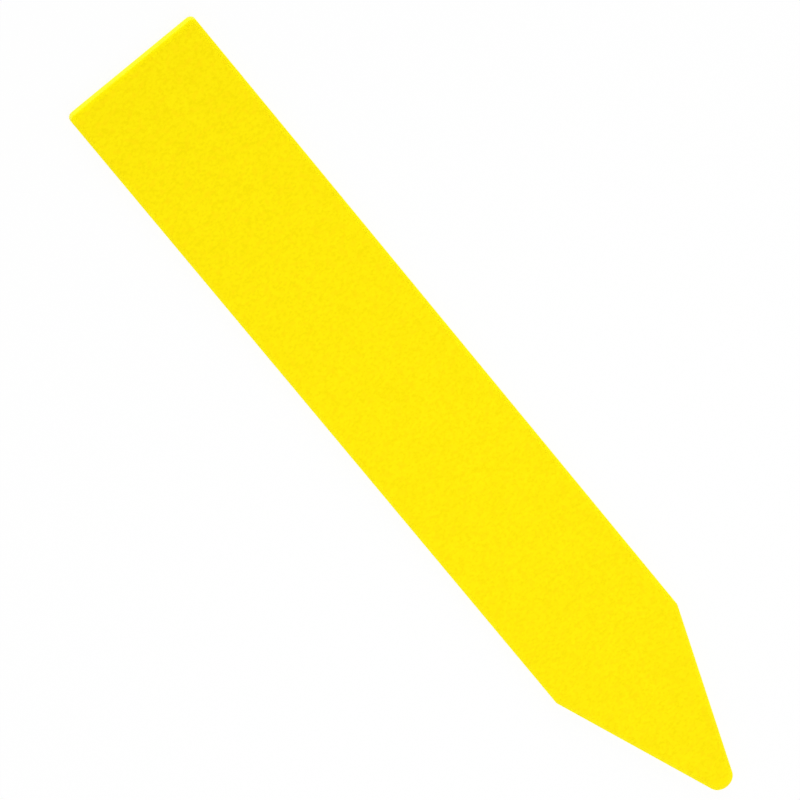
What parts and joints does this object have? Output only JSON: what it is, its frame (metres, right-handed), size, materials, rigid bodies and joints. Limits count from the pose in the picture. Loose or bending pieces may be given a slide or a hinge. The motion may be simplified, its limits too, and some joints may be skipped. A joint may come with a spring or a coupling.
{
  "type": "plant label stake",
  "caption": "Flat stick-in plant label of bright yellow plastic sheet, with a square head, parallel sides and a tapered point with a rounded tip that pushes into soil.",
  "frame": {"origin": "middle of the label's box on its back face, where the label rests when it lies flat", "axes": "+X across the label, +Y along it from the point to the head, +Z out of the writing face"},
  "size_m": [0.017, 0.12, 0.001],
  "materials": {
    "yellow_plastic": "fine matt grain on both faces, cut edges a little brighter"
  },
  "bodies": {
    "root": {"label_blade": "yellow_plastic"}
  },
  "joints": []
}
